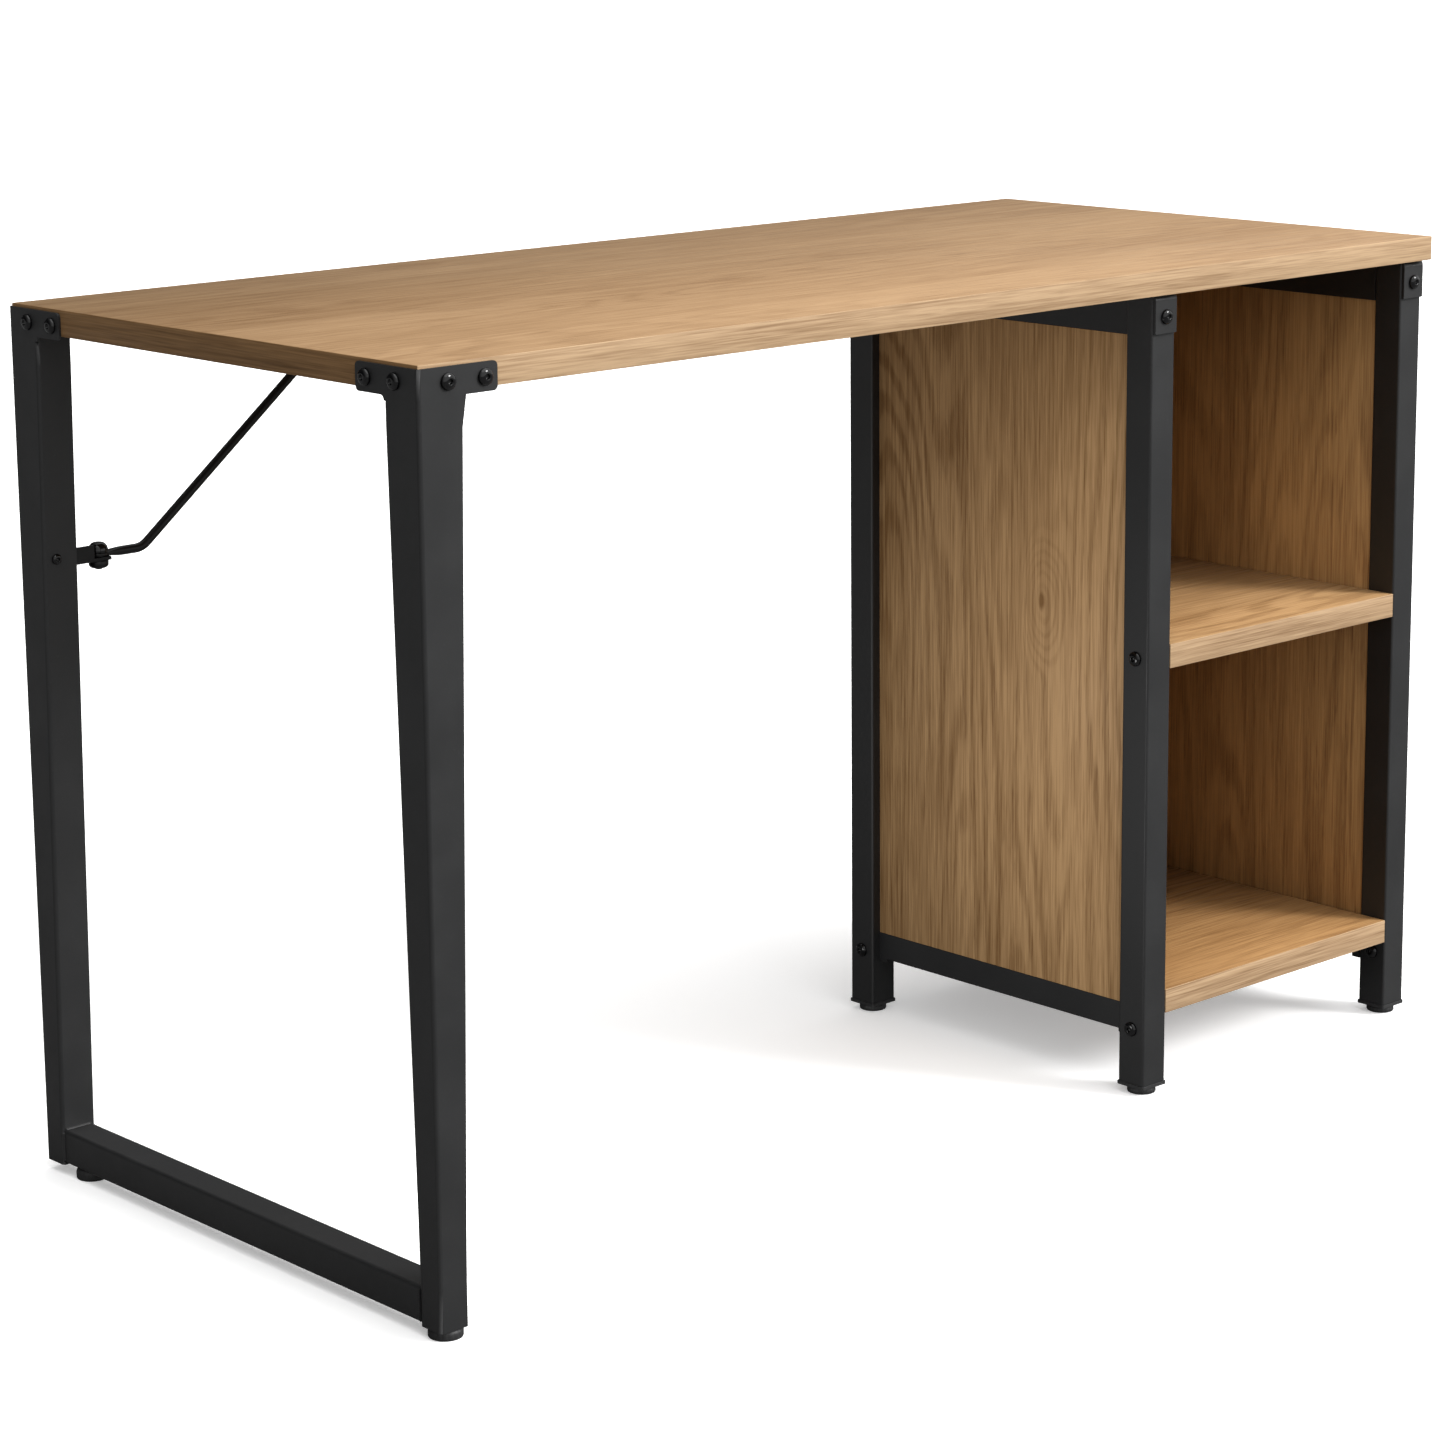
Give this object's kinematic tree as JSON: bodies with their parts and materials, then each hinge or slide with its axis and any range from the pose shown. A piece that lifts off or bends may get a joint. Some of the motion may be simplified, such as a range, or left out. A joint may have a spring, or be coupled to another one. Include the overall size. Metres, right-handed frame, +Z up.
{
  "type": "computer desk",
  "caption": "Computer desk with a wood-laminate top on a tapered black steel leg frame with a diagonal brace, and an open-fronted shelf cabinet with square-tube frames under the other end.",
  "frame": {"origin": "on the floor, under the middle of the desk's bounding box", "axes": "+X along the desk from the leg frame to the cabinet, +Y from the sitter's edge to the back, +Z up"},
  "size_m": [1.2078, 0.5568, 0.755],
  "materials": {
    "oak_laminate": "satin printed oak laminate with edge banding",
    "back_board": "satin thin board",
    "black_steel": "matt black powder coat",
    "black_bolt": "glossy black coated steel",
    "black_plastic": "moulded black plastic"
  },
  "bodies": {
    "desk": {"back_panel": "back_board", "bottom_shelf": "oak_laminate", "brace_bracket": "black_steel", "brace_bracket_screw": "black_bolt", "brace_pivot_bolt": "black_bolt", "brace_pivot_nut": "black_bolt", "brace_rod": "black_steel", "brace_top_screw": "black_bolt", "desktop": "oak_laminate", "front_leg": "black_steel", "front_leg_face_bolt_1": "black_bolt", "front_leg_face_bolt_2": "black_bolt", "front_leg_seat": "black_steel", "front_leg_side_bolt_1": "black_bolt", "front_leg_side_bolt_2": "black_bolt", "left_bottom_rail": "black_steel", "left_front_clip": "black_steel", "left_front_clip_bolt": "black_bolt", "left_front_end_cap": "black_plastic", "left_front_frame_bolt": "black_bolt", "left_front_post": "black_steel", "left_front_shelf_bolt": "black_bolt", "left_rear_clip": "black_steel", "left_rear_clip_bolt": "black_bolt", "left_rear_end_cap": "black_plastic", "left_rear_frame_bolt": "black_bolt", "left_rear_post": "black_steel", "left_side_panel": "oak_laminate", "left_top_rail": "black_steel", "leg_rail": "black_steel", "middle_shelf": "oak_laminate", "rear_leg": "black_steel", "rear_leg_face_bolt_1": "black_bolt", "rear_leg_face_bolt_2": "black_bolt", "rear_leg_seat": "black_steel", "rear_leg_side_bolt_1": "black_bolt", "rear_leg_side_bolt_2": "black_bolt", "right_bottom_rail": "black_steel", "right_front_clip": "black_steel", "right_front_clip_bolt": "black_bolt", "right_front_end_cap": "black_plastic", "right_front_frame_bolt": "black_bolt", "right_front_post": "black_steel", "right_front_shelf_bolt": "black_bolt", "right_rear_clip": "black_steel", "right_rear_clip_bolt": "black_bolt", "right_rear_end_cap": "black_plastic", "right_rear_frame_bolt": "black_bolt", "right_rear_post": "black_steel", "right_side_panel": "oak_laminate", "right_top_rail": "black_steel", "shelf_back_screw_1": "black_steel", "shelf_back_screw_2": "black_steel"},
    "front_leg_foot_body": {"front_leg_foot": "black_plastic"},
    "left_front_foot_body": {"left_front_foot": "black_plastic"},
    "left_rear_foot_body": {"left_rear_foot": "black_plastic"},
    "rear_leg_foot_body": {"rear_leg_foot": "black_plastic"},
    "right_front_foot_body": {"right_front_foot": "black_plastic"},
    "right_rear_foot_body": {"right_rear_foot": "black_plastic"}
  },
  "joints": [
    {"name": "front_leg_foot_screw", "type": "slide", "parent": "desk", "child": "front_leg_foot_body", "axis": [0, 0, -1], "range_m": [0, 0.008]},
    {"name": "left_front_foot_screw", "type": "slide", "parent": "desk", "child": "left_front_foot_body", "axis": [0, 0, -1], "range_m": [0, 0.008]},
    {"name": "left_rear_foot_screw", "type": "slide", "parent": "desk", "child": "left_rear_foot_body", "axis": [0, 0, -1], "range_m": [0, 0.008]},
    {"name": "rear_leg_foot_screw", "type": "slide", "parent": "desk", "child": "rear_leg_foot_body", "axis": [0, 0, -1], "range_m": [0, 0.008]},
    {"name": "right_front_foot_screw", "type": "slide", "parent": "desk", "child": "right_front_foot_body", "axis": [0, 0, -1], "range_m": [0, 0.008]},
    {"name": "right_rear_foot_screw", "type": "slide", "parent": "desk", "child": "right_rear_foot_body", "axis": [0, 0, -1], "range_m": [0, 0.008]}
  ]
}
